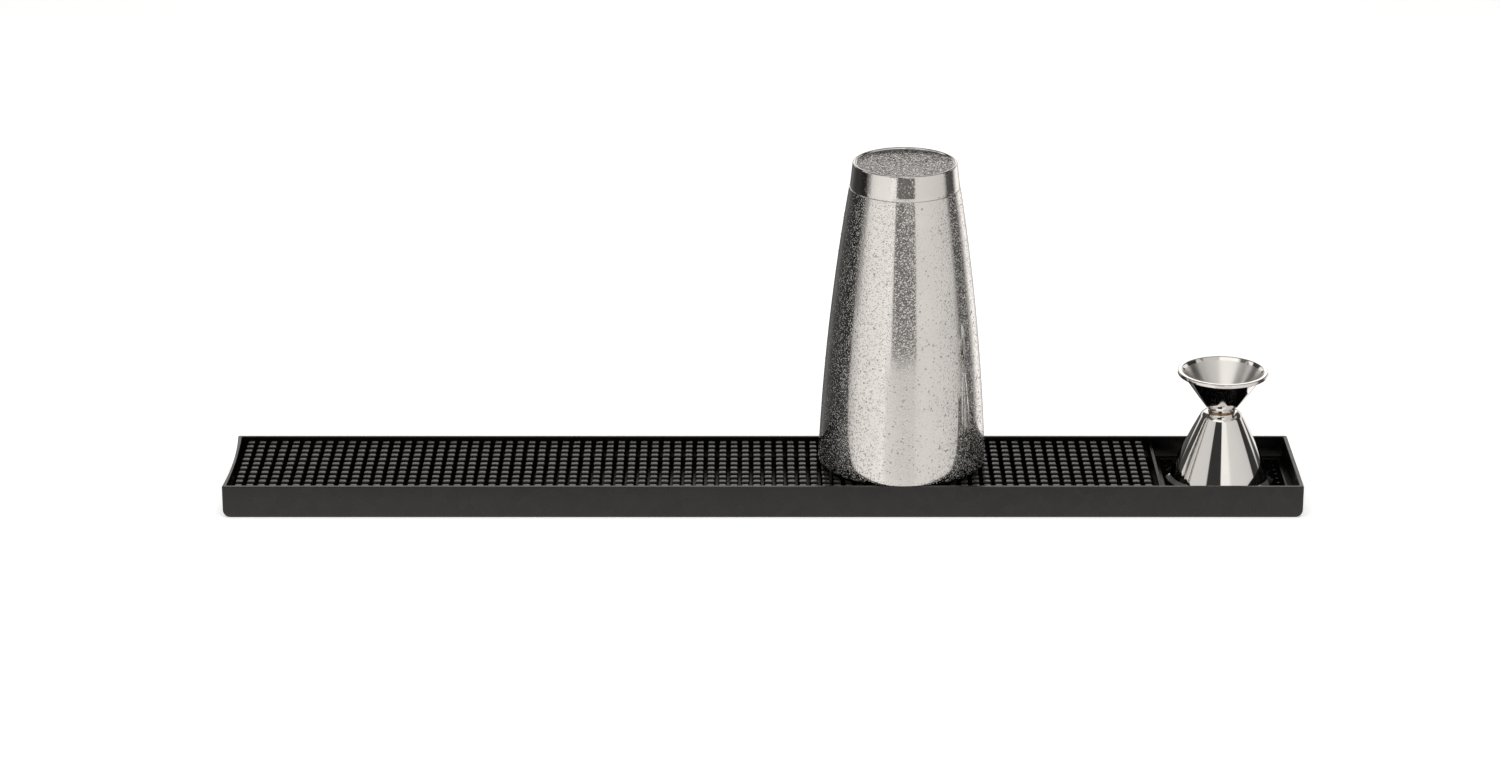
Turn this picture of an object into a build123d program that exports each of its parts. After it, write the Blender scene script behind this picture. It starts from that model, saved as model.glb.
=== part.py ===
from build123d import *
from collections import namedtuple
import math
import os

# A bar set: a long rubber bar mat, a Boston shaker of two weighted tins standing mouth down on
# it, the small tin stored inside the large one, and a double jigger standing in the mat's pocket.
#
# Millimetres. The origin is the centre of the mat's flat underside. +X runs along the mat
# towards the jigger pocket, +Y runs to the mat's back edge and +Z is up.

# Driving dimensions ----------------------------------------------------------------------------

# Mat: one rubber moulding
mat_length = 590.0
mat_depth = 80.0
mat_height = 18.0
rim_width = 2.2             # wall around the whole mat
end_radius = 4.2            # round under each end
edge_radius = 1.0           # outer edges of the long faces and the corners
rim_radius = 0.4            # soft edges along the rim's top
corner_radius = 1.2         # upright inside corners of the tray and the pocket

# Nib field: the tray left of the divider
tray_floor = 6.0            # height of the floor between the nibs
nib_drop = 1.5              # nib tops below the rim
nib_length = 4.1            # nib top along X
nib_width = 4.4             # nib top along Y
nib_draft = 2.0             # degrees, nibs are wider at the foot
nib_pitch_x = 6.3
nib_pitch_y = 6.7
nib_margin = 2.0            # least space between the outer nibs and the walls

# Jigger pocket: right of the divider
pocket_length = 73.8
divider_width = 2.0
divider_drop = 3.5          # divider's top below the rim
ledge_height = 6.5          # the level the jigger stands on
ledge_width = 4.0
well_depth = 2.0            # well inside the ledge, filled with small round studs
stud_radius = 1.1
stud_pitch_x = 5.0
stud_pitch_y = 6.7
stud_margin = 1.0           # least space between the outer studs and the ledge

# Shaker: both tins are drawn from sheet and share their base construction
large_mouth_outside = 46.2  # large tin's radius over its mouth
large_seam_outside = 30.2   # just below the base cap
large_base_outside = 28.4
large_height = 170.8
large_belly = 2.4           # how far the side bulges beyond a straight cone
small_belly = 2.0
tin_wall = 0.7
nest_clearance = 0.9        # radial play between the two mouths when nested
nest_seam_play = 4.6        # radial play around the small tin's seam
nest_headroom = 26.4        # space above the small tin's base
nest_shift = 0.5            # the small tin stands this much nearer the front rim
cap_depth = 13.9            # height of the base cap's skirt
cap_wall = 0.7
cap_inset = 0.3             # how far the cap's skirt stands inside the body's skin at the seam
cap_gap = 0.05              # brazing gap between the cap's skirt and the body
lip_radius = 0.8            # folded lip around the dished base
dish_depth = 2.2
dish_slope = 8.2            # width of the curved edge between the dish's flat and the base's edge
weight_height = 4.0
weight_clearance = 0.6      # radial play of the weight under the cap
front_setback = 0.3         # large tin's mouth behind the mat's front face
divider_distance = 140.0    # from the tins' axis to the divider

# Jigger: two spun cups welded end to end
jigger_height = 63.4
jigger_wall = 0.9
large_cup_depth = 39.5      # outside height of the lower, larger cup
large_mouth_radius = 29.95  # over the rolled bead
small_mouth_radius = 24.9
bead_radius = 1.3           # rolled bead on both mouths
large_end_radius = 10.4     # where the large cup's cone would meet its flat end
small_end_radius = 6.6
large_cup_belly = 0.6       # how far the cups' sides bulge beyond straight cones
small_cup_belly = 0.2
shoulder_radius = 4.5       # round between the large cup's cone and its flat end
weld_leg = 0.9              # leg of the fillet weld around the waist
jigger_seat = 0.05          # air between the round bead and the pocket's studs
jigger_share_x = -0.35      # where the jigger stands, as a share of its play in the pocket
jigger_share_y = 0.5

# Derived places --------------------------------------------------------------------------------

inner_depth = mat_depth - 2 * rim_width
pocket_right = mat_length / 2 - rim_width
pocket_left = pocket_right - pocket_length
pocket_middle = (pocket_left + pocket_right) / 2
field_left = -mat_length / 2 + rim_width
field_right = pocket_left - divider_width
field_length = field_right - field_left
nib_top = mat_height - nib_drop
tin_x = field_right - divider_distance
tin_y = -mat_depth / 2 + front_setback + large_mouth_outside
large_tin_place = Location((tin_x, tin_y, mat_height))
small_tin_place = Location((tin_x, tin_y - nest_shift, mat_height))
jigger_x = pocket_middle + jigger_share_x * (pocket_length / 2 - large_mouth_radius)
jigger_y = jigger_share_y * (inner_depth / 2 - large_mouth_radius)
jigger_place = Location((jigger_x, jigger_y, ledge_height + jigger_seat))


def places_along(length, pitch, size, margin):
    """How many pieces of one size fit in a length at a pitch, with a margin at both ends."""
    return int((length - size - 2 * margin) / pitch) + 1


def block(x0, x1, y0, y1, z0, z1, radius):
    """A block between two corners with its upright edges rounded."""
    outline = RectangleRounded(x1 - x0, y1 - y0, radius)
    return Pos((x0 + x1) / 2, (y0 + y1) / 2, z0) * extrude(outline, amount=z1 - z0)


def lathe(outline):
    """Turn a closed outline, drawn as (radius, height), once around Z."""
    return revolve(Plane.XZ * outline, axis=Axis.Z)


# Bar mat ---------------------------------------------------------------------------------------

def mat_blank():
    """Solid block with round under-ends and softened long faces."""
    outline = Pos(0, mat_height / 2) * Rectangle(mat_length, mat_height)
    outline = fillet(outline.vertices().group_by(Axis.Y)[0], end_radius)
    blank = Pos(0, mat_depth / 2, 0) * extrude(Plane.XZ * outline, amount=mat_depth)
    long_faces = blank.faces().group_by(Axis.Y)[0] + blank.faces().group_by(Axis.Y)[-1]
    rims = blank.edges().group_by(Axis.Z)[-1]
    return fillet([edge for edge in long_faces.edges() if edge not in rims], edge_radius)


def nibs():
    """The raised nibs of the tray, a little wider at the foot."""
    columns = places_along(field_length, nib_pitch_x, nib_length, nib_margin)
    rows = places_along(inner_depth, nib_pitch_y, nib_width, nib_margin)
    top = Plane.XY.offset(nib_top) * Rectangle(nib_length, nib_width)
    nib = extrude(top, amount=tray_floor - nib_top, taper=-nib_draft)
    middle = Pos((field_left + field_right) / 2, 0, 0)
    return [middle * place * nib for place in GridLocations(nib_pitch_x, nib_pitch_y, columns, rows)]


def pocket_studs():
    """Small round studs in the pocket's well, level with the ledge."""
    columns = places_along(pocket_length - 2 * ledge_width, stud_pitch_x, 2 * stud_radius, stud_margin)
    rows = places_along(inner_depth - 2 * ledge_width, stud_pitch_y, 2 * stud_radius, stud_margin)
    stud = extrude(Circle(stud_radius), amount=well_depth)
    floor = Pos(pocket_middle, 0, ledge_height - well_depth)
    return [floor * place * stud for place in GridLocations(stud_pitch_x, stud_pitch_y, columns, rows)]


def bar_mat():
    """The whole mat: a tray full of nibs, a divider and a studded pocket for the jigger."""
    half = inner_depth / 2
    tray = block(field_left, field_right, -half, half, tray_floor, mat_height, corner_radius)
    pocket = block(pocket_left, pocket_right, -half, half, ledge_height, mat_height, corner_radius)
    well = block(pocket_left + ledge_width, pocket_right - ledge_width, -half + ledge_width,
                 half - ledge_width, ledge_height - well_depth, mat_height, corner_radius)
    over_divider = Box(divider_width + 2 * corner_radius, inner_depth, divider_drop)
    over_divider = Pos((field_right + pocket_left) / 2, 0, mat_height - divider_drop / 2) * over_divider
    shell = mat_blank() - tray - pocket - well - over_divider
    shell = fillet(shell.edges().group_by(Axis.Z)[-1], rim_radius)
    return shell + (nibs() + pocket_studs())


# Shaker tins -----------------------------------------------------------------------------------
# A tin is drawn as it stands here: mouth down at height 0, base up. Its side is one long arc
# from the mouth to the seam, and the base cap above the seam is a short cone.

Tin = namedtuple("Tin", "mouth_radius seam_radius base_radius height belly")


def seam_height(tin):
    return tin.height - cap_depth


def side_radius(tin, height, inset=0.0):
    """Radius of a tin's side at a height, measured inset below the outer skin."""
    run = tin.mouth_radius - tin.seam_radius
    chord = math.hypot(run, seam_height(tin))
    arc_radius = (chord ** 2 / 4 + tin.belly ** 2) / (2 * tin.belly)
    back = (arc_radius - tin.belly) / chord
    centre_radius = (tin.mouth_radius + tin.seam_radius) / 2 - back * seam_height(tin)
    centre_height = seam_height(tin) / 2 - back * run
    return centre_radius + math.sqrt((arc_radius - inset) ** 2 - (height - centre_height) ** 2)


def side_point(tin, height, inset=0.0):
    return (side_radius(tin, height, inset), height)


def side_arc(tin, start, end, inset=0.0):
    """The stretch of a tin's side between two heights."""
    middle = (start + end) / 2
    return ThreePointArc(side_point(tin, start, inset), side_point(tin, middle, inset),
                         side_point(tin, end, inset))


def end_height(tin):
    """Height of the closed end's outer face, which carries the weight."""
    return tin.height - dish_depth - cap_wall - weight_height


def skirt_point(tin, height, inset=0.0):
    """A point on the base cap's skirt."""
    start = tin.seam_radius - cap_inset
    share = (height - seam_height(tin)) / cap_depth
    return (start + share * (tin.base_radius - start) - inset, height)


def small_tin_inside(tin):
    """The small tin that stores inside a large one, with the nest's clearances all round."""
    mouth = tin.mouth_radius - tin_wall - nest_clearance
    height = end_height(tin) - tin_wall - nest_headroom
    seam = side_radius(tin, height - cap_depth, tin_wall) - nest_seam_play
    base = seam - (tin.seam_radius - tin.base_radius)
    return Tin(mouth, seam, base, height, small_belly)


def tin_body(tin):
    """Drawn cup, stepped in at its closed end so that the base cap sits just inside its skin."""
    seam = seam_height(tin)
    step = cap_inset + cap_wall + cap_gap
    top = end_height(tin)
    inside = top - tin_wall
    inner_seam = seam - tin_wall
    outline = [
        side_arc(tin, 0, seam),
        Line(side_point(tin, seam), side_point(tin, seam, step)),
        side_arc(tin, seam, top, step),
        Polyline(side_point(tin, top, step), (0, top), (0, inside),
                 side_point(tin, inside, step + tin_wall)),
        side_arc(tin, inside, inner_seam, step + tin_wall),
        Line(side_point(tin, inner_seam, step + tin_wall), side_point(tin, inner_seam, tin_wall)),
        side_arc(tin, inner_seam, 0, tin_wall),
        Line(side_point(tin, 0, tin_wall), side_point(tin, 0)),
    ]
    return lathe(make_face(outline))


def tin_base_cap(tin):
    """Shallow drawn cap over the closed end, with a folded lip around a dished base."""
    seam = seam_height(tin) + cap_gap
    lip = tin.height - lip_radius
    flat = tin.base_radius - dish_slope
    dish = tin.height - dish_depth
    under = dish - cap_wall
    outer = skirt_point(tin, lip)
    top = (outer[0] - lip_radius, tin.height)
    fold = (outer[0] - 2 * lip_radius, lip)
    slope = ((fold[0] + flat) / 2, dish + (lip - dish) / 4)
    outline = [
        ThreePointArc(outer, top, fold),
        ThreePointArc(fold, slope, (flat, dish)),
        Polyline((flat, dish), (0, dish), (0, under), skirt_point(tin, under, cap_wall),
                 skirt_point(tin, seam, cap_wall), skirt_point(tin, seam), outer),
    ]
    return lathe(make_face(outline))


def tin_weight(tin):
    """Steel disc between the closed end and the base cap."""
    under = tin.height - dish_depth - cap_wall
    radius, _ = skirt_point(tin, under, cap_wall + weight_clearance)
    return Pos(0, 0, end_height(tin)) * extrude(Circle(radius), amount=weight_height)


# Jigger ----------------------------------------------------------------------------------------
# Drawn as it stands: the large cup mouth down at height 0, the small cup mouth up above it.

def outward(end, mouth):
    """Direction square to the line from a cup's end to its mouth, away from the axis."""
    along = Vector(mouth) - Vector(end)
    up = math.copysign(1, along.Y)
    return Vector(up * along.Y, -up * along.X).normalized()


def cup(end_level, end_radius, mouth_level, mouth_radius, round_radius, belly):
    """Spun cup with a flat closed end, a slightly bulged side and a rolled bead around its mouth."""
    up = math.copysign(1, mouth_level - end_level)
    bead = (mouth_radius - bead_radius, mouth_level - up * bead_radius)
    end = Vector(end_radius, end_level)
    mouth = Vector(mouth_radius - 2 * bead_radius + jigger_wall / 2, bead[1])
    away = outward(end, mouth)
    side = ThreePointArc(end, (end + mouth) / 2 + away * belly, mouth)
    outer = make_face([side, Polyline(mouth, (0, mouth.Y), (0, end_level), end)])
    outer = fillet(outer.vertices().sort_by_distance(end)[0], round_radius)
    floor = end_level + up * jigger_wall
    along = (mouth - end) / (mouth.Y - end_level)
    end_in, mouth_in = end - away * jigger_wall, mouth - away * jigger_wall
    floor_end = end_in + along * (floor - end_in.Y)
    over = mouth_in + along * up * bead_radius
    side = ThreePointArc(floor_end, (floor_end + over) / 2 + away * belly, over)
    inner = make_face([side, Polyline(over, (0, over.Y), (0, floor), floor_end)])
    inner = fillet(inner.vertices().sort_by_distance(floor_end)[0],
                   max(round_radius - jigger_wall, jigger_wall))
    return lathe(outer + Pos(*bead) * Circle(bead_radius) - inner)


def jigger_large_cup():
    return cup(large_cup_depth, large_end_radius, 0.0, large_mouth_radius, shoulder_radius,
               large_cup_belly)


def jigger_small_cup():
    return cup(large_cup_depth, small_end_radius, jigger_height, small_mouth_radius, jigger_wall,
               small_cup_belly)


def jigger_weld():
    """Fillet weld that fills the corner between the small cup's cone and the large cup's end."""
    mouth = (small_mouth_radius - 2 * bead_radius + jigger_wall / 2, jigger_height - bead_radius)
    lean = math.atan2(mouth[0] - small_end_radius, mouth[1] - large_cup_depth)
    corner = (small_end_radius, large_cup_depth)
    low = (corner[0] + weld_leg, corner[1])
    high = (corner[0] + weld_leg * math.sin(lean), corner[1] + weld_leg * math.cos(lean))
    dip = ((corner[0] + low[0] + high[0]) / 3, (corner[1] + low[1] + high[1]) / 3)
    waist = ((low[0] + high[0] + dip[0]) / 3, (low[1] + high[1] + dip[1]) / 3)
    inside = (corner[0] - jigger_wall / 2, corner[1])
    outline = [Polyline(high, corner, inside, low), ThreePointArc(low, waist, high)]
    return lathe(make_face(outline)) - jigger_small_cup()


# Nodes -----------------------------------------------------------------------------------------

large_tin = Tin(large_mouth_outside, large_seam_outside, large_base_outside, large_height,
                large_belly)
small_tin = small_tin_inside(large_tin)

nodes = {
    "bar_mat": bar_mat(),
    "large_tin_body": large_tin_place * tin_body(large_tin),
    "large_tin_base_cap": large_tin_place * tin_base_cap(large_tin),
    "large_tin_weight": large_tin_place * tin_weight(large_tin),
    "small_tin_body": small_tin_place * tin_body(small_tin),
    "small_tin_base_cap": small_tin_place * tin_base_cap(small_tin),
    "small_tin_weight": small_tin_place * tin_weight(small_tin),
    "jigger_large_cup": jigger_place * jigger_large_cup(),
    "jigger_small_cup": jigger_place * jigger_small_cup(),
    "jigger_weld": jigger_place * jigger_weld(),
}

os.makedirs("parts", exist_ok=True)
for name, solid in nodes.items():
    export_step(solid, f"parts/{name}.step")
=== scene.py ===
import math
import random

import bmesh
import bpy
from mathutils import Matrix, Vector


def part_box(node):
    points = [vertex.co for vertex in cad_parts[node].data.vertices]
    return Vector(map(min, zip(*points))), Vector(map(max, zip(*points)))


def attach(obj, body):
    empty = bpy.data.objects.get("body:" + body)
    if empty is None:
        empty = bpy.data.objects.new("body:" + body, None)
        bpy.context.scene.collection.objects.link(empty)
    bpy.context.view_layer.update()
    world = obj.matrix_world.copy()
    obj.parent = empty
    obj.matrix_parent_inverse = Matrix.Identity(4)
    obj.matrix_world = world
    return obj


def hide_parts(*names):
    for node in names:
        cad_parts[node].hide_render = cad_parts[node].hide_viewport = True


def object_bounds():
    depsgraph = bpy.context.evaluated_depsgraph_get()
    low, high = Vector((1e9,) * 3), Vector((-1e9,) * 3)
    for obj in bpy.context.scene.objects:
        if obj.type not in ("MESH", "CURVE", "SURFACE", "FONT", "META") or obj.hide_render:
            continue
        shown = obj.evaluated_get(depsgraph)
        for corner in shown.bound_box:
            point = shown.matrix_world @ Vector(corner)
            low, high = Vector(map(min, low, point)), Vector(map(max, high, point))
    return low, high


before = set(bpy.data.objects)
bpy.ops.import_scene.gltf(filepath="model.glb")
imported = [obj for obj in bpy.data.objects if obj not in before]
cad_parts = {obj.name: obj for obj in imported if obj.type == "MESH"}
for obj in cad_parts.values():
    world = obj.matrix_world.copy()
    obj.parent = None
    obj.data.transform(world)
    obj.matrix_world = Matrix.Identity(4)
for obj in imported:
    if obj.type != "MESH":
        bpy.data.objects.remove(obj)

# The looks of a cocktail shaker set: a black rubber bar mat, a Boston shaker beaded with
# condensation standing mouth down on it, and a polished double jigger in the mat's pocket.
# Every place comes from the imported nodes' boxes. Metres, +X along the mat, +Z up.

MM = 0.001
cad_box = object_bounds()


# Shader helpers -------------------------------------------------------------------------------

def new_material(name):
    material = bpy.data.materials.new(name)
    material.use_nodes = True
    return material, material.node_tree, material.node_tree.nodes["Principled BSDF"]


def feed(tree, node, **inputs):
    """Set a node's inputs, or link them from sockets. Base_Color is by name, _6 by number."""
    for key, value in inputs.items():
        socket = node.inputs[int(key[1:]) if key[1:].isdigit() else key.replace("_", " ")]
        if isinstance(value, bpy.types.NodeSocket):
            tree.links.new(value, socket)
        else:
            socket.default_value = value


def add_node(tree, kind, settings=None, **inputs):
    """A shader node with its properties set and its inputs fed."""
    made = tree.nodes.new(kind)
    for key, value in (settings or {}).items():
        setattr(made, key, value)
    feed(tree, made, **inputs)
    return made


def ramp(tree, factor, stops):
    """A colour ramp from (position, grey or colour) stops."""
    made = add_node(tree, "ShaderNodeValToRGB", Fac=factor)
    elements = made.color_ramp.elements
    while len(elements) < len(stops):
        elements.new(1.0)
    for element, (position, value) in zip(elements, stops):
        element.position = position
        rgb = value if isinstance(value, tuple) else (value, value, value)
        element.color = (*rgb, 1.0)
    return made.outputs["Color"]


def math_node(tree, operation, first, second, clamp=False):
    return add_node(tree, "ShaderNodeMath", {"operation": operation, "use_clamp": clamp},
                    _0=first, _1=second).outputs[0]


def scaled(tree, value, factor, start):
    """value * factor + start."""
    return add_node(tree, "ShaderNodeMath", {"operation": "MULTIPLY_ADD"},
                    _0=value, _1=factor, _2=start).outputs[0]


def object_place(tree):
    return add_node(tree, "ShaderNodeTexCoord").outputs["Object"]


def noise(tree, place, scale, detail=2.0):
    """Cloudy noise around 0.5; a larger scale is finer."""
    return add_node(tree, "ShaderNodeTexNoise", Vector=place, Scale=scale,
                    Detail=detail).outputs["Fac"]


def bump(tree, height, strength, distance):
    return add_node(tree, "ShaderNodeBump", Height=height, Strength=strength,
                    Distance=distance).outputs["Normal"]


# Mesh helpers ---------------------------------------------------------------------------------

def size_of(node):
    """Lowest corner, highest corner and middle of a CAD node at rest."""
    low, high = (Vector(corner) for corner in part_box(node))
    return low, high, (low + high) / 2


def add_object(name, data):
    made = bpy.data.objects.new(name, data)
    bpy.context.scene.collection.objects.link(made)
    return made


def finish_piece(name, bm, material, body, node):
    """Turn a bmesh into a smooth piece that rides on a body and stands for a CAD node."""
    bmesh.ops.recalc_face_normals(bm, faces=bm.faces)
    mesh = bpy.data.meshes.new(name)
    bm.to_mesh(mesh)
    bm.free()
    mesh.polygons.foreach_set("use_smooth", [True] * len(mesh.polygons))
    mesh.materials.append(material)
    piece = add_object(name, mesh)
    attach(piece, body)
    if node:
        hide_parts(node)
    return piece


def paint_some(piece, material, chosen):
    """Give a second material to the faces that chosen(middle, normal) picks."""
    piece.data.materials.append(material)
    for face in piece.data.polygons:
        if chosen(face.center, face.normal):
            face.material_index = 1


def spread(start, end, count):
    """Evenly spaced values, both ends included."""
    return [start + (end - start) * i / (count - 1) for i in range(count)]


def stretch(start, end, count):
    """Evenly spaced points between two outline points, without the first."""
    return [(start[0] + (end[0] - start[0]) * t, start[1] + (end[1] - start[1]) * t)
            for t in spread(0, 1, count + 1)[1:]]


def circle(count):
    """Directions all round, as (cosine, sine)."""
    return [(math.cos(2 * math.pi * i / count), math.sin(2 * math.pi * i / count))
            for i in range(count)]


def bridge_rings(bm, rings, closed=False):
    """Skin rings of equal length; a ring of one vertex is a pole."""
    pairs = list(zip(rings, rings[1:]))
    if closed:
        pairs.append((rings[-1], rings[0]))
    for first, second in pairs:
        count = max(len(first), len(second))
        for i in range(count):
            j = (i + 1) % count
            corners = [first[i % len(first)], first[j % len(first)],
                       second[j % len(second)], second[i % len(second)]]
            unique = [v for k, v in enumerate(corners) if v not in corners[:k]]
            if len(unique) > 2:
                bm.faces.new(unique)


def turned(outline, centre, segments):
    """A bmesh turned around Z from (radius, height) points; it closes on itself off the axis."""
    bm = bmesh.new()
    rings = []
    for radius, height in outline:
        on_axis = radius < 1e-7
        spots = [(0, 0)] if on_axis else [(radius * c, radius * s) for c, s in circle(segments)]
        rings.append([bm.verts.new(centre + Vector((x, y, height))) for x, y in spots])
    bridge_rings(bm, rings, closed=len(rings[0]) > 1)
    return bm


def rounded_path(corners, steps=6):
    """Points along straight runs between (x, y, radius) corners, each corner turned by an arc."""
    path = []
    last = len(corners) - 1
    for k, (x, y, radius) in enumerate(corners):
        here = Vector((x, y))
        if radius == 0 or k in (0, last):
            path.append((x, y))
            continue
        before = (Vector(corners[k - 1][:2]) - here).normalized()
        after = (Vector(corners[k + 1][:2]) - here).normalized()
        half = before.angle(after) / 2
        centre = here + (before + after).normalized() * (radius / math.sin(half))
        start = here + before * (radius / math.tan(half)) - centre
        end = here + after * (radius / math.tan(half)) - centre
        turn = start.angle_signed(end)
        for i in range(steps + 1):
            angle = -turn * i / steps
            path.append((centre.x + start.x * math.cos(angle) - start.y * math.sin(angle),
                         centre.y + start.x * math.sin(angle) + start.y * math.cos(angle)))
    return path


# Materials ------------------------------------------------------------------------------------

def rubber(name, dark, light, gloss):
    """Satin moulded rubber: near black, finely grained, a little dusty and uneven in gloss."""
    material, tree, shader = new_material(name)
    place = object_place(tree)
    patch = add_node(tree, "ShaderNodeTexVoronoi", Vector=place, Scale=170.0).outputs["Color"]
    cloud = scaled(tree, noise(tree, place, scale=28.0, detail=5.0), factor=0.5, start=0.0)
    shade = scaled(tree, patch, factor=0.5, start=cloud)
    grain = noise(tree, place, scale=1900.0, detail=3.0)
    tones = [(0.25, (dark, dark, 1.05 * dark)), (0.75, (light, light, 1.05 * light))]
    feed(tree, shader, Base_Color=ramp(tree, shade, tones),
         Roughness=scaled(tree, shade, factor=0.2, start=0.18),
         Normal=bump(tree, grain, strength=0.22, distance=0.15 * MM),
         IOR=1.6, Specular_IOR_Level=gloss, Specular_Tint=(1.0, 0.97, 0.94, 1.0))
    return material


def droplets(tree, place, scale, reach, strength, normal=None):
    """Bump of small domes of different sizes, one in each cell the skin cuts near its middle."""
    smallest = 0.4          # share of the reach
    height = 0.45           # share of a cell
    cell = add_node(tree, "ShaderNodeTexVoronoi", Vector=place, Scale=scale)
    grey = add_node(tree, "ShaderNodeSeparateColor", Color=cell.outputs["Color"]).outputs[0]
    radius = scaled(tree, grey, (1 - smallest) * reach, smallest * reach)
    share = math_node(tree, "DIVIDE", cell.outputs["Distance"], radius)
    square = math_node(tree, "MULTIPLY", share, share)
    dome = math_node(tree, "SUBTRACT", 1.0, square, clamp=True)
    made = add_node(tree, "ShaderNodeBump", Height=math_node(tree, "MULTIPLY", dome, radius),
                    Strength=strength, Distance=height / scale)
    if normal is not None:
        feed(tree, made, Normal=normal)
    return made.outputs["Normal"]


def steel(name, tint, mist=0.0, brushed=0.0):
    """Polished stainless steel; mist beads it over, brushed widens its spinning lines."""
    material, tree, shader = new_material(name)
    place = object_place(tree)
    cloud = noise(tree, place, scale=45.0, detail=4.0)
    darker = tuple(0.95 * c for c in tint)
    squashed = add_node(tree, "ShaderNodeMapping", Vector=place, Scale=(3.0, 3.0, 2500.0))
    lines = noise(tree, squashed.outputs[0], scale=1.0)
    normal = bump(tree, lines, strength=0.1 + brushed, distance=0.02 * MM)
    if mist:
        normal = droplets(tree, place, 2300.0, 0.5, 0.25 * mist, normal)
        normal = droplets(tree, place, 1050.0, 0.5, 0.62 * mist, normal)
    feed(tree, shader, Base_Color=ramp(tree, cloud, [(0.35, darker), (0.65, tint)]),
         Roughness=scaled(tree, cloud, factor=0.05, start=0.03 + 0.015 * mist + brushed),
         Normal=normal, Metallic=1.0)
    return material


def frosted_base(name, tint):
    """The tin's dished base: satin steel under a dense layer of fine drops."""
    material, tree, shader = new_material(name)
    place = object_place(tree)
    grain = noise(tree, place, scale=1300.0, detail=3.0)
    dark = tuple(0.14 * c for c in tint)
    fine = droplets(tree, place, 1500.0, 0.7, 1.0)
    feed(tree, shader, Base_Color=ramp(tree, grain, [(0.38, dark), (0.62, tint)]),
         Roughness=scaled(tree, grain, factor=0.2, start=0.1),
         Normal=droplets(tree, place, 800.0, 0.62, 1.0, fine), Metallic=1.0)
    return material


def water_beads(name):
    """Beads of water on steel: its mirror, dimmed, under a clear coat of water."""
    material, tree, shader = new_material(name)
    film = noise(tree, object_place(tree), scale=300.0)
    feed(tree, shader, Base_Color=ramp(tree, film, [(0.3, 0.5), (0.7, 0.72)]),
         Roughness=scaled(tree, film, factor=0.05, start=0.03),
         Metallic=1.0, Coat_Weight=1.0, Coat_IOR=1.33, Coat_Roughness=0.02)
    return material


def weld_tint(name):
    """Weld bead with straw and brown heat colours."""
    material, tree, shader = new_material(name)
    patches = noise(tree, object_place(tree), scale=220.0, detail=3.0)
    tints = [(0.35, (0.10, 0.05, 0.03)), (0.5, (0.34, 0.21, 0.12)), (0.7, (0.55, 0.47, 0.38))]
    feed(tree, shader, Base_Color=ramp(tree, patches, tints),
         Roughness=scaled(tree, patches, factor=0.2, start=0.2),
         Normal=bump(tree, patches, strength=0.5, distance=0.2 * MM), Metallic=1.0)
    return material


# Bar mat --------------------------------------------------------------------------------------

rim_width = 2.2 * MM
end_radius = 4.2 * MM       # round of the underside at both ends
edge_radius = 1.0 * MM
rim_radius = 0.45 * MM
inside_corner = 1.2 * MM
tray_floor = 6.0 * MM
field_edge = 0.1 * MM
pocket_length = 73.8 * MM
divider_width = 2.0 * MM
divider_drop = 3.5 * MM
divider_round = 0.5 * MM
ledge_height = 6.5 * MM
ledge_width = 4.0 * MM
ledge_round = 0.5 * MM
ledge_chamfer = 0.15 * MM
well_depth = 2.0 * MM
sunk = 0.3 * MM             # how far a slab or nib is let into what it stands on
well_floor = ledge_height - well_depth
bow_depth = 1.9 * MM
bow_reach = 6.0 * MM
bow_at_foot = 0.35          # share of the bow that the mat's underside has
end_steps = 8
corner_steps = 5
side_steps = 14

nib_drop = 1.5 * MM
nib_size = Vector((4.1, 4.4)) * MM
nib_pitch = Vector((6.3, 6.7)) * MM
nib_columns, nib_rows = 80, 11
nib_flare = 0.35 * MM
nib_soft = 0.55 * MM        # how far the top edge is rounded off
nib_corner = 0.4            # share of the half-width that a corner's softening takes
nib_tilt = 0.02             # most slope of a top
nib_sway = 0.08             # most that a top stands aside, in mm
nib_crown = 0.04 * MM
nib_waist = (0.55, 0.4)     # a share of the height, and the share of the flare left there
stud_radius = 1.1 * MM
stud_pitch = Vector((5.0, 6.7)) * MM
stud_columns, stud_rows = 13, 10
stud_flare = 0.1 * MM
stud_soft = 0.3 * MM
stud_sides = 10

painted_shade_below = 1.0 * MM     # under the nibs' tops, where the darker, less glossy rubber of painted shade starts
flat_enough = 0.75          # least upward part of the normal of a nib's top; steeper faces get the painted shade


def loop_points(x0, x1, y0, y1, radius):
    """A rounded rectangle, counter-clockwise, with extra points along its short ends."""
    points = []
    corners = [(x1 - radius, y1 - radius, 0), (x0 + radius, y1 - radius, 90),
               (x0 + radius, y0 + radius, 180), (x1 - radius, y0 + radius, 270)]
    for k, (cx, cy, start) in enumerate(corners):
        for i in range(corner_steps + 1):
            angle = math.radians(start + 90 * i / corner_steps)
            points.append((cx + radius * math.cos(angle), cy + radius * math.sin(angle)))
        if k % 2 == 1:
            x, y = points[-1]
            toward = y0 + radius if k == 1 else y1 - radius
            points += [(x, between) for between in spread(y, toward, side_steps + 2)[1:-1]]
    return points


def add_ring(bm, x0, x1, y0, y1, radius, height):
    return [bm.verts.new((x, y, height)) for x, y in loop_points(x0, x1, y0, y1, radius)]


def skin_closed(bm, rings):
    """Skin rings and close both ends with a face."""
    bridge_rings(bm, rings)
    bm.faces.new(reversed(rings[0]))
    bm.faces.new(rings[-1])


def quarter(radius, steps=5):
    """Inset and drop along a quarter round, from the flat it leaves to the side it meets."""
    return [(radius * (1 - math.sin(a)), radius * (1 - math.cos(a)))
            for a in spread(0, math.pi / 2, steps + 1)]


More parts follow.
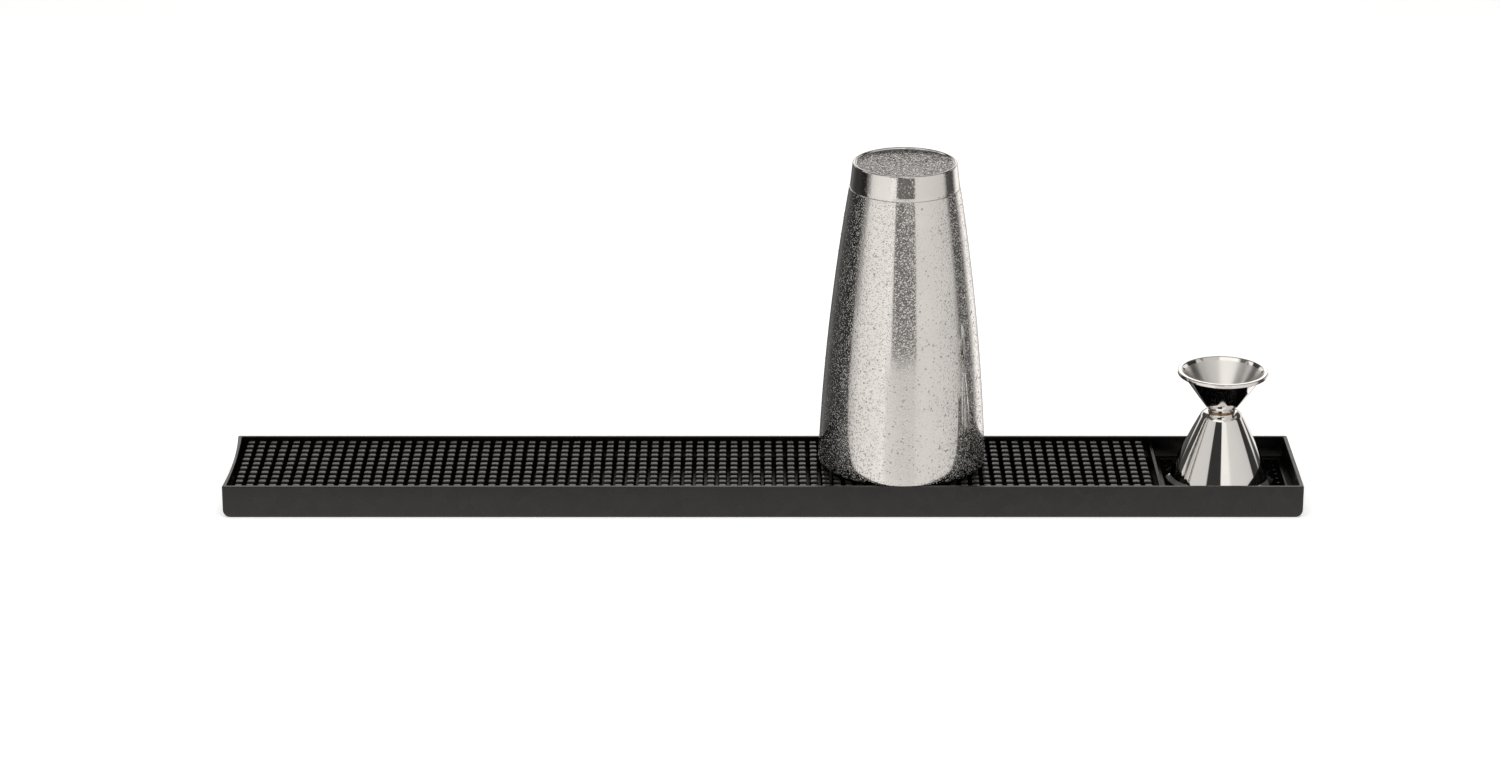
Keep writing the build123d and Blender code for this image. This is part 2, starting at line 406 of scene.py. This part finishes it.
def tray_shell(bm, low, high):
    """Outer skin, rim and inner walls down to the deepest floor, as one closed skin."""

    def ring(x_in, y_in, radius, height):
        return add_ring(bm, low.x + x_in, high.x - x_in, low.y + y_in, high.y - y_in, radius,
                        height)

    rings = []
    for angle in spread(0, math.pi / 2, end_steps):
        height = end_radius * (1 - math.cos(angle))
        rise = min(height, edge_radius)
        y_in = edge_radius - math.sqrt(edge_radius ** 2 - (edge_radius - rise) ** 2)
        rings.append(ring(end_radius * (1 - math.sin(angle)), y_in, edge_radius, height))
    for inset, drop in reversed(quarter(rim_radius)):
        rings.append(ring(inset, inset, edge_radius, high.z - drop))
    for inset, drop in quarter(rim_radius):
        side = rim_width - inset
        rings.append(ring(side, side, inside_corner, high.z - drop))
    for height in (tray_floor + (high.z - tray_floor) / 2, well_floor):
        rings.append(ring(rim_width, rim_width, inside_corner, height))
    skin_closed(bm, rings)


def slab(bm, x0, x1, y0, y1, z0, z1, round_top):
    """A flat-bottomed slab with a rounded top edge."""
    rings = [add_ring(bm, x0, x1, y0, y1, round_top, z0)]
    for inset, drop in reversed(quarter(round_top, 3)):
        rings.append(add_ring(bm, x0 + inset, x1 - inset, y0 + inset, y1 - inset, round_top,
                              z1 - drop))
    skin_closed(bm, rings)


def ledge_frame(bm, x0, x1, y0, y1):
    """The flat ledge around the pocket's well."""
    profile = ((0.0, well_depth + sunk), (0.0, ledge_round), (-ledge_chamfer, ledge_chamfer),
               (-ledge_round, 0.0))
    inner = [add_ring(bm, x0 + ledge_width + grow, x1 - ledge_width - grow, y0 + ledge_width + grow,
                      y1 - ledge_width - grow, inside_corner, ledge_height - drop)
             for grow, drop in profile]
    outer = [add_ring(bm, x0 - sunk, x1 + sunk, y0 - sunk, y1 + sunk, inside_corner, z)
             for z in (ledge_height, well_floor - sunk)]
    bridge_rings(bm, inner + outer, closed=True)


def soft_nib(bm, spot, foot, top, size, sides, rng, flare, soft):
    """One nib: flared foot, soft top edge and a slightly crowned, slightly uneven top."""
    tilt_x, tilt_y = rng.uniform(-nib_tilt, nib_tilt), rng.uniform(-nib_tilt, nib_tilt)
    sway = Vector((rng.uniform(-nib_sway, nib_sway), rng.uniform(-nib_sway, nib_sway))) * MM
    waist, waist_flare = nib_waist
    levels = [(foot + (top - soft - foot) * share, grow, share)
              for share, grow in ((0.0, flare), (waist, flare * waist_flare), (1.0, 0.0))]
    levels += [(top - 0.3 * soft, -0.3 * soft, 1.0), (top, -soft, 1.0)]
    rings = []
    for height, grow, share in levels:
        ring = []
        for side_x, side_y in sides:
            x = side_x * (size.x / 2 + grow)
            y = side_y * (size.y / 2 + grow)
            lean = (x * tilt_x + y * tilt_y) if share == 1.0 else 0.0
            ring.append(bm.verts.new((spot.x + x + sway.x * share, spot.y + y + sway.y * share,
                                      height + lean)))
        rings.append(ring)
    rings.append([bm.verts.new((spot.x + sway.x, spot.y + sway.y, top + nib_crown))])
    bridge_rings(bm, rings)


def square_sides(soft):
    """Directions around a square with soft corners, on a unit half-size."""
    near = 1 - soft
    mid = 1 - soft * (1 - math.sqrt(0.5))
    return [(1, -near), (1, near), (mid, mid), (near, 1), (-near, 1), (-mid, mid), (-1, near),
            (-1, -near), (-mid, -mid), (-near, -1), (near, -1), (mid, -mid)]


def grid(left, right, pitch, columns, rows):
    """Spots of a grid between left and right on the mat's long axis, column by column."""
    middle = Vector(((left + right) / 2, 0))
    for i in range(columns):
        for j in range(rows):
            yield Vector((middle.x + (i - (columns - 1) / 2) * pitch.x,
                          middle.y + (j - (rows - 1) / 2) * pitch.y))


def bow_left_end(bm, low, high):
    """The flexible left end is pushed in a little at its middle."""
    half = (high.y - low.y) / 2
    for vert in bm.verts:
        reach = (vert.co.x - low.x) / bow_reach
        if reach < 1:
            share = 1 - (vert.co.y / half) ** 2
            lift = min(1.0, vert.co.z / (high.z - low.z))
            upward = bow_at_foot + (1 - bow_at_foot) * lift
            vert.co.x += bow_depth * share * (1 - reach) * upward


def build_mat():
    low, high, _ = size_of("bar_mat")
    left, right = low.x + rim_width, high.x - rim_width
    front, back = low.y + rim_width, high.y - rim_width
    pocket_left = right - pocket_length
    field_right = pocket_left - divider_width
    nib_top = high.z - nib_drop
    foot = well_floor - sunk
    rng = random.Random(7)
    bm = bmesh.new()
    tray_shell(bm, low, high)
    bow_left_end(bm, low, high)
    slab(bm, left + bow_depth, field_right + sunk, front - sunk, back + sunk, foot, tray_floor,
         field_edge)
    slab(bm, field_right, pocket_left, front - sunk, back + sunk, foot, high.z - divider_drop,
         divider_round)
    ledge_frame(bm, pocket_left, right, front, back)
    nib_sides = square_sides(nib_corner)
    for spot in grid(left, field_right, nib_pitch, nib_columns, nib_rows):
        soft_nib(bm, spot, tray_floor - sunk, nib_top, nib_size, nib_sides, rng, nib_flare,
                 nib_soft)
    stud_size = Vector((2, 2)) * stud_radius
    round_sides = circle(stud_sides)
    for spot in grid(pocket_left, right, stud_pitch, stud_columns, stud_rows):
        soft_nib(bm, spot, foot, ledge_height, stud_size, round_sides, rng, stud_flare, stud_soft)
    black = rubber("black_rubber", dark=0.005, light=0.012, gloss=0.5)
    piece = finish_piece("bar_mat_rubber", bm, black, "mat", "bar_mat")

    # Painted shade: inside the rim, every face lower than painted_shade_below under the nibs' tops
    # and every steep face gets a darker, less glossy copy of the rubber. It stands in for the shade
    # down among the nibs, in the gaps, on the inner walls and in the pocket, while the nibs' tops
    # and the rim keep the lighter copy.
    def in_painted_shade(middle, normal):
        walled = left - sunk < middle.x < right + sunk and front - sunk < middle.y < back + sunk
        return walled and (middle.z < nib_top - painted_shade_below or normal.z < flat_enough)

    paint_some(piece, rubber("recess_painted_shade_rubber", dark=0.001, light=0.003, gloss=0.12), in_painted_shade)


# Shaker tins ----------------------------------------------------------------------------------

large_tin_belly = 2.4 * MM  # how far the side bulges past a straight cone
small_tin_belly = 2.0 * MM
tin_wall = 0.7 * MM
cap_wall = 0.7 * MM
cap_inset = 0.3 * MM
cap_gap = 0.05 * MM
cap_depth = 13.9 * MM
cap_taper = 1.8 * MM        # the base's edge stands this much inside the body's skin at the seam
lip_radius = 0.8 * MM
dish_depth = 2.2 * MM
dish_slope = 8.2 * MM
frost_edge = 0.4 * MM       # how far inside the lip the layer of drops starts
weight_height = 4.0 * MM
neck_round = 0.9 * MM
neck_end = 1.0 * MM         # under the closed end, where the neck's round starts
inside_round = 6.0 * MM
soft_edge = 0.25 * MM
segments = 256


class Tin:
    """A tin's sizes, worked out from the boxes of its body and cap. Its side is an arc."""

    def __init__(self, name, belly):
        low, high, middle = size_of(name + "_body")
        cap_low, cap_high, _ = size_of(name + "_base_cap")
        self.name = name
        self.top = cap_high.z - low.z
        self.seam = self.top - cap_depth
        self.mouth = (high.x - low.x) / 2
        self.edge = (cap_high.x - cap_low.x) / 2 + cap_inset
        self.base = self.edge - cap_taper
        self.centre = Vector((middle.x, middle.y, low.z))
        run = self.mouth - self.edge
        chord = math.hypot(run, self.seam)
        self.arc = (chord ** 2 / 4 + belly ** 2) / (2 * belly)
        back = (self.arc - belly) / chord
        self.arc_r = (self.mouth + self.edge) / 2 - back * self.seam
        self.arc_z = self.seam / 2 - back * run

    def radius(self, height, inset=0.0):
        return self.arc_r + math.sqrt((self.arc - inset) ** 2 - (height - self.arc_z) ** 2)

    def side(self, start, end, inset=0.0, count=28):
        return [(self.radius(z, inset), z) for z in spread(start, end, count)]

    def skirt(self, height, inset=0.0):
        start = self.edge - cap_inset
        return (start + (height - self.seam) / cap_depth * (self.base - start) - inset, height)


def build_tin_body(tin, material):
    """Drawn cup with a smooth mouth edge, stepped in at its closed end for the cap."""
    edge = tin_wall / 2
    step = cap_inset + cap_wall + cap_gap
    top = tin.top - dish_depth - cap_wall - weight_height
    inside = top - tin_wall
    middle = tin.radius(edge, edge)
    mouth = [(middle - edge * math.cos(a), edge - edge * math.sin(a))
             for a in spread(0, math.pi, 9)]
    outer = tin.side(edge, tin.seam - soft_edge)[1:]
    seam = tin.radius(tin.seam)
    ledge = rounded_path([outer[-1] + (0,), (seam, tin.seam, 0.8 * soft_edge),
                          (seam - step, tin.seam, 0)], 4)[1:]
    neck = tin.side(tin.seam, top - neck_end, step, 5)[1:]
    closed = rounded_path([neck[-1] + (0,), (tin.radius(top, step), top, neck_round),
                           (0, top, 0)])[1:]
    bend_start = inside - inside_round
    inner = tin.side(edge, bend_start, tin_wall)[1:-1]
    bend = rounded_path([(tin.radius(bend_start, step + tin_wall), bend_start, 0),
                         (tin.radius(inside, step + tin_wall), inside, 0.8 * inside_round),
                         (0, inside, 0)])
    outline = [point for run in (closed, neck, ledge, outer, mouth) for point in reversed(run)]
    bm = turned(outline + inner + bend, tin.centre, segments)
    finish_piece(tin.name + "_drawn", bm, material, tin.name, tin.name + "_body")


def build_cap(tin, material, frosted):
    """The base cap: conical skirt, folded lip and a dished base under fine drops."""
    foot = tin.seam + cap_gap
    lip = tin.top - lip_radius
    dish = tin.top - dish_depth
    under = dish - cap_wall
    outer, _ = tin.skirt(lip)
    fold = outer - 2 * lip_radius
    flat = tin.base - dish_slope
    skirt = rounded_path([tin.skirt(foot, cap_wall) + (0,), tin.skirt(foot) + (soft_edge,),
                          tin.skirt(lip) + (0,)], 4)
    skirt = skirt[:-1] + stretch(skirt[-2], skirt[-1], 6)
    curl = [(outer - lip_radius + lip_radius * math.cos(a), lip + lip_radius * math.sin(a))
            for a in spread(0, math.pi, 13)[1:]]
    slope = [(fold + (flat - fold) * t, lip + (dish - lip) * math.sin(t * math.pi / 2))
             for t in spread(0, 1, 12)[1:]]
    base = [(flat * t, dish) for t in (0.75, 0.5, 0.25, 0.0)]
    inside = [(0.0, under), tin.skirt(under, cap_wall)]
    bm = turned(skirt + curl + slope + base + inside, tin.centre, segments)
    piece = finish_piece(tin.name + "_cap", bm, material, tin.name, tin.name + "_base_cap")
    level = tin.centre.z + dish - cap_wall / 2

    def dished(middle, _):
        offset = middle - tin.centre
        return middle.z > level and math.hypot(offset.x, offset.y) < fold - frost_edge

    paint_some(piece, frosted, dished)


# Condensation on the large tin ----------------------------------------------------------------

bead_count = 7000
bead_sides = 7
bead_sink = 0.03 * MM                   # how far a bead's foot is let into the skin
bead_fall = 0.8                         # under 1 puts more beads near the mouth
bead_least, bead_most = 0.2, 0.7        # radii, in mm
bead_rates = (9.0, 3.0)                 # sizes' fall-off at the base, and its easing to the mouth
bead_heights = (0.24, 0.4)              # shares of the radius
bead_profile = ((1.0, 0.0), (0.6, 0.72))    # shares of the radius and of the height
bead_clear = 1.2                        # least height over the mouth, in radii
flanks = (math.radians(-35), math.radians(-148))    # from +X, where more beads gather
flank_width = math.radians(12)
flank_share = 0.35


def build_beads(tin):
    """Flattened domes of water all round the large tin, more on two flanks and near its mouth."""
    rng = random.Random(21)
    bm = bmesh.new()
    low, high = (Vector(corner) for corner in cad_box)
    sides = circle(bead_sides)
    for _ in range(bead_count):
        down = rng.random() ** bead_fall
        height = tin.seam * (1 - down) + MM
        angle = rng.uniform(0, 2 * math.pi)
        if rng.random() < flank_share:
            angle = rng.choice(flanks) + rng.gauss(0, flank_width)
        rate = bead_rates[0] - bead_rates[1] * down
        radius = min(bead_most, bead_least + rng.expovariate(rate)) * MM
        tall = radius * rng.uniform(*bead_heights)
        out = Vector((math.cos(angle), math.sin(angle), 0))
        lean = (tin.radius(height - MM) - tin.radius(height + MM)) / (2 * MM)
        normal = (out + Vector((0, 0, lean))).normalized()
        across = Vector((-out.y, out.x, 0))
        up = normal.cross(across)
        foot = tin.centre + out * tin.radius(height) + Vector((0, 0, height)) - normal * bead_sink
        peak = foot + normal * tall
        if not low.y < peak.y < high.y or height < bead_clear * radius:
            continue
        rings = [[bm.verts.new(foot + normal * (tall * rise)
                               + (across * cosine + up * sine) * radius * share)
                  for cosine, sine in sides] for share, rise in bead_profile]
        rings.append([bm.verts.new(peak)])
        bridge_rings(bm, rings)
        bm.faces.new(reversed(rings[0]))
    finish_piece("condensation", bm, water_beads("water_beads"), tin.name, None)


# Jigger ---------------------------------------------------------------------------------------

jigger_wall = 0.9 * MM
rim_bead = 1.3 * MM
least_inner_round = 1.5 * MM
roll_rounds = (0.25, 0.35, 0.5, 0.6)    # shares of rim_bead, from the crease to the inside
round_steps, cone_steps, roll_steps = 16, 24, 8
jigger_tint = (0.93, 0.92, 0.9)

# The closed end's radius and its round, how far the cone bulges, and how far up the rim's side
# its roll is widest, in rim_beads from the bead's middle towards the mouth.
large_cup = {"closed_radius": 10.4 * MM, "round_radius": 4.5 * MM, "belly": 0.6 * MM, "brim": 0.25}
small_cup = {"closed_radius": 6.6 * MM, "round_radius": 1.2 * MM, "belly": 0.2 * MM, "brim": -0.7}


def bulged(path, start, end, away, belly):
    """Push an outline outwards between two points, most at the middle."""
    along = end - start
    moved = []
    for point in path:
        t = (Vector(point) - start).dot(along) / along.length_squared
        push = 4 * belly * t * (1 - t) if 0 < t < 1 else 0.0
        moved.append((point[0] + away.x * push, point[1] + away.y * push))
    return moved


def cup_outline(end_height, mouth_height, mouth_radius, closed_radius, round_radius, belly, brim):
    """Flat closed end, bulged cone and a rolled rim, as (radius, height) points."""
    up = math.copysign(1, mouth_height - end_height)
    bead = Vector((mouth_radius - rim_bead, mouth_height - up * rim_bead))
    end = Vector((closed_radius, end_height))
    neck = Vector((mouth_radius - 2 * rim_bead + jigger_wall / 2, bead.y))
    side = (neck - end).normalized()
    away = Vector((up * side.y, -up * side.x))
    crease = neck - side * (rim_bead / abs(side.y))
    floor = end_height + up * jigger_wall
    inner_end = end - away * jigger_wall
    inner = inner_end + side * ((floor - inner_end.y) / side.y)
    inner_neck = neck - away * jigger_wall
    rim = inner_neck + side * ((mouth_height - inner_neck.y) / side.y)
    inner_round = max(round_radius - jigger_wall, least_inner_round)
    outside = rounded_path([(0, end_height, 0), (end.x, end.y, round_radius),
                            (crease.x, crease.y, 0)], round_steps)
    outside = outside[:-1] + stretch(outside[-2], outside[-1], cone_steps)
    inside = rounded_path([(rim.x, rim.y, 0), (inner.x, inner.y, inner_round), (0, floor, 0)],
                          round_steps)
    inside = stretch(inside[0], inside[1], cone_steps)[1:] + inside[2:]
    outside = bulged(outside, end, crease, away, belly)
    inside = bulged(inside, inner, rim, away, belly)
    turns = (outside[-1], (mouth_radius, bead.y + up * brim * rim_bead),
             (mouth_radius, mouth_height), (rim.x, rim.y))
    roll = rounded_path([outside[-2] + (0,)]
                        + [(*turn, share * rim_bead) for turn, share in zip(turns, roll_rounds)]
                        + [inside[0] + (0,)], roll_steps)
    return outside[:-1] + roll[1:-1] + inside


def build_jigger():
    low, high, middle = size_of("jigger_large_cup")
    small_low, small_high, _ = size_of("jigger_small_cup")
    centre = Vector((middle.x, middle.y, low.z))
    waist = high.z - low.z
    polished = steel("jigger_steel", jigger_tint)
    large = cup_outline(waist, 0.0, (high.x - low.x) / 2, **large_cup)
    small = cup_outline(waist, small_high.z - low.z, (small_high.x - small_low.x) / 2, **small_cup)
    finish_piece("large_cup_spun", turned(large, centre, segments), polished, "jigger",
                 "jigger_large_cup")
    piece = finish_piece("small_cup_spun", turned(small, centre, segments), polished, "jigger",
                         "jigger_small_cup")
    satin_top = small_high.z - 1.5 * rim_bead

    def inside(face_middle, normal):
        inward = (face_middle - centre).dot(normal * Vector((1, 1, 0))) < 0
        return inward and face_middle.z < satin_top

    paint_some(piece, steel("small_cup_inside", jigger_tint, brushed=0.24), inside)


# Stage ----------------------------------------------------------------------------------------

# The camera is set on the photo, by the mat's four corners and the tin's axis.
view_elevation = math.radians(19.84)
view_distance = 2.304
aim = Vector((-0.007, 0.0, 0.062))
lens_length = 100.5
sensor_width = 36.0

floor_half = 40.0
floor_grey = (0.8, 0.8, 0.8, 1)
floor_roughness = 0.9
floor_glow = 0.45

softbox_size = (2.4, 1.6)
softbox_power = 30.0
softbox_place = (0.0, -0.2, 2.0)


def build_camera():
    data = bpy.data.cameras.new("camera")
    data.lens = lens_length
    data.sensor_width = sensor_width
    camera = add_object("camera", data)
    back = Vector((0, -math.cos(view_elevation), math.sin(view_elevation)))
    camera.location = aim + back * view_distance
    camera.rotation_euler = (math.pi / 2 - view_elevation, 0, 0)
    bpy.context.scene.camera = camera


def build_floor():
    """A pale floor that the steel doesn't mirror: it has the studio's levels to mirror."""
    material, tree, shader = new_material("pale_floor")
    feed(tree, shader, Base_Color=floor_grey, Roughness=floor_roughness,
         Emission_Color=(1, 1, 1, 1), Emission_Strength=floor_glow)
    mesh = bpy.data.meshes.new("floor")
    mesh.from_pydata([(x * floor_half, y * floor_half, 0)
                      for x, y in ((-1, -1), (1, -1), (1, 1), (-1, 1))], [], [(0, 1, 2, 3)])
    mesh.materials.append(material)
    floor = add_object("floor", mesh)
    floor.visible_glossy = False


def build_light():
    """One broad overhead softbox, which lights but isn't mirrored."""
    data = bpy.data.lights.new("softbox", "AREA")
    data.shape = "RECTANGLE"
    data.size, data.size_y = softbox_size
    data.energy = softbox_power
    light = add_object("softbox", data)
    light.location = softbox_place
    light.visible_camera = False
    light.visible_glossy = False


# The studio that the steel mirrors, as (azimuth in degrees, brightness) from the back, over the
# left, the camera's side (0) and the right to the back again. There is one list for each range
# of height, from the lowest up. Seen from the camera, the tin's side mirrors the first two, and
# most of the jigger's lower cone mirrors cone_level. Over them all is an even ceiling.

table_level = [(-180, 0.06), (-168, 0.1), (-152, 0.16), (-140, 0.07), (-128, 0.04), (-112, 0.04),
               (-100, 0.02), (-88, 0.03), (-84, 0.55), (-70, 0.8), (-34, 0.88), (-29, 0.98),
               (-24, 0.74), (15, 0.66), (18, 0.76), (60, 0.7), (86, 0.62), (92, 0.4), (97, 0.09),
               (120, 0.07), (128, 0.5), (135, 1.0), (150, 1.15), (162, 0.6), (172, 0.08),
               (180, 0.06)]
lower_level = [(-180, 0.06), (-168, 0.08), (-152, 0.1), (-138, 0.03), (-128, 0.022), (-112, 0.02),
               (-101, 0.012), (-93, 0.02), (-89, 0.11), (-80, 0.36), (-74, 0.75), (-60, 0.86),
               (-34, 0.9), (-29, 0.98), (-20, 0.95), (-18.5, 0.16), (18, 0.14), (19.5, 0.74),
               (60, 0.68), (88, 0.62), (92, 0.4), (97, 0.07), (134, 0.06), (142, 0.8),
               (150, 1.15), (162, 0.6), (172, 0.08), (180, 0.06)]
upper_level = [(-180, 0.9), (-134, 0.85), (-129, 0.06), (-109, 0.045), (-106, 0.95), (-93, 0.95),
               (-91, 0.3), (-88, 0.35), (-86.5, 0.8), (-84, 0.75), (-82.5, 0.12), (-80.5, 0.12),
               (-79, 0.66), (-38, 0.64), (-36, 0.035), (-2.5, 0.035), (-1, 0.95), (18, 0.95),
               (26, 0.7), (82, 0.6), (86, 0.55), (88, 0.03), (111, 0.04), (115, 0.85), (180, 0.9)]
cone_level = [(-180, 1.3), (-168, 1.2), (-161, 0.07)]
cone_level += [(azimuth, value) for azimuth, value in upper_level if abs(azimuth) < 112]
cone_level += [(161, 0.07), (168, 1.2), (180, 1.3)]
high_level = [(-180, 0.1), (-130, 0.08), (-68, 0.14), (-60, 0.9), (-54, 1.1), (4, 1.1), (12, 0.6),
              (60, 0.56), (68, 0.2), (98, 0.16), (108, 0.45), (126, 0.45), (140, 0.1), (180, 0.1)]
ceiling = (0.14, 0.14, 0.14, 1.0)
studio_warmth = (1.0, 0.965, 0.93)

# The sines of the elevations between which each level fades into the next one up.
level_edges = [(-0.158, -0.144), (0.02, 0.06), (0.24, 0.3), (0.6, 0.63), (0.88, 0.94)]


def band(tree, turn, level):
    stops = [((azimuth + 180) / 360, tuple(value * c for c in studio_warmth))
             for azimuth, value in level]
    return ramp(tree, turn, stops)


def build_world():
    world = bpy.data.worlds.new("studio")
    bpy.context.scene.world = world
    world.use_nodes = True
    tree = world.node_tree
    place = add_node(tree, "ShaderNodeTexCoord").outputs["Generated"]
    split = add_node(tree, "ShaderNodeSeparateXYZ", Vector=place)
    away = math_node(tree, "MULTIPLY", split.outputs["Y"], -1.0)
    azimuth = math_node(tree, "ARCTAN2", split.outputs["X"], away)
    turn = scaled(tree, azimuth, 1 / (2 * math.pi), 0.5)
    colour = band(tree, turn, table_level)
    layers = [band(tree, turn, level)
              for level in (lower_level, upper_level, cone_level, high_level)]
    for (start, end), layer in zip(level_edges, layers + [ceiling]):
        lift = add_node(tree, "ShaderNodeMapRange", Value=split.outputs["Z"], From_Min=start,
                        From_Max=end)
        colour = add_node(tree, "ShaderNodeMix", {"data_type": "RGBA"}, _0=lift.outputs[0],
                          _6=colour, _7=layer).outputs[2]
    feed(tree, tree.nodes["Background"], Color=colour, Strength=1.0)


# Putting it together --------------------------------------------------------------------------

large_tin = Tin("large_tin", large_tin_belly)
small_tin = Tin("small_tin", small_tin_belly)
misted = steel("misted_steel", (0.91, 0.893, 0.87), mist=1.0)
misted_cap = steel("cap_steel", (0.89, 0.873, 0.85), mist=0.25)
clean = steel("clean_steel", (0.89, 0.88, 0.86))
frosted = frosted_base("dished_base_steel", (0.74, 0.735, 0.73))
weight_steel = steel("weight_steel", (0.5, 0.49, 0.48), brushed=0.2)

build_mat()
build_tin_body(large_tin, misted)
build_cap(large_tin, misted_cap, frosted)
build_beads(large_tin)
build_tin_body(small_tin, clean)
build_cap(small_tin, clean, frosted)
build_jigger()
for node, material in (("large_tin_weight", weight_steel), ("small_tin_weight", weight_steel),
                       ("jigger_weld", weld_tint("weld_bead"))):
    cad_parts[node].data.materials.clear()
    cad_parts[node].data.materials.append(material)

build_camera()
build_floor()
build_world()
build_light()
bpy.context.scene.view_settings.view_transform = "Standard"
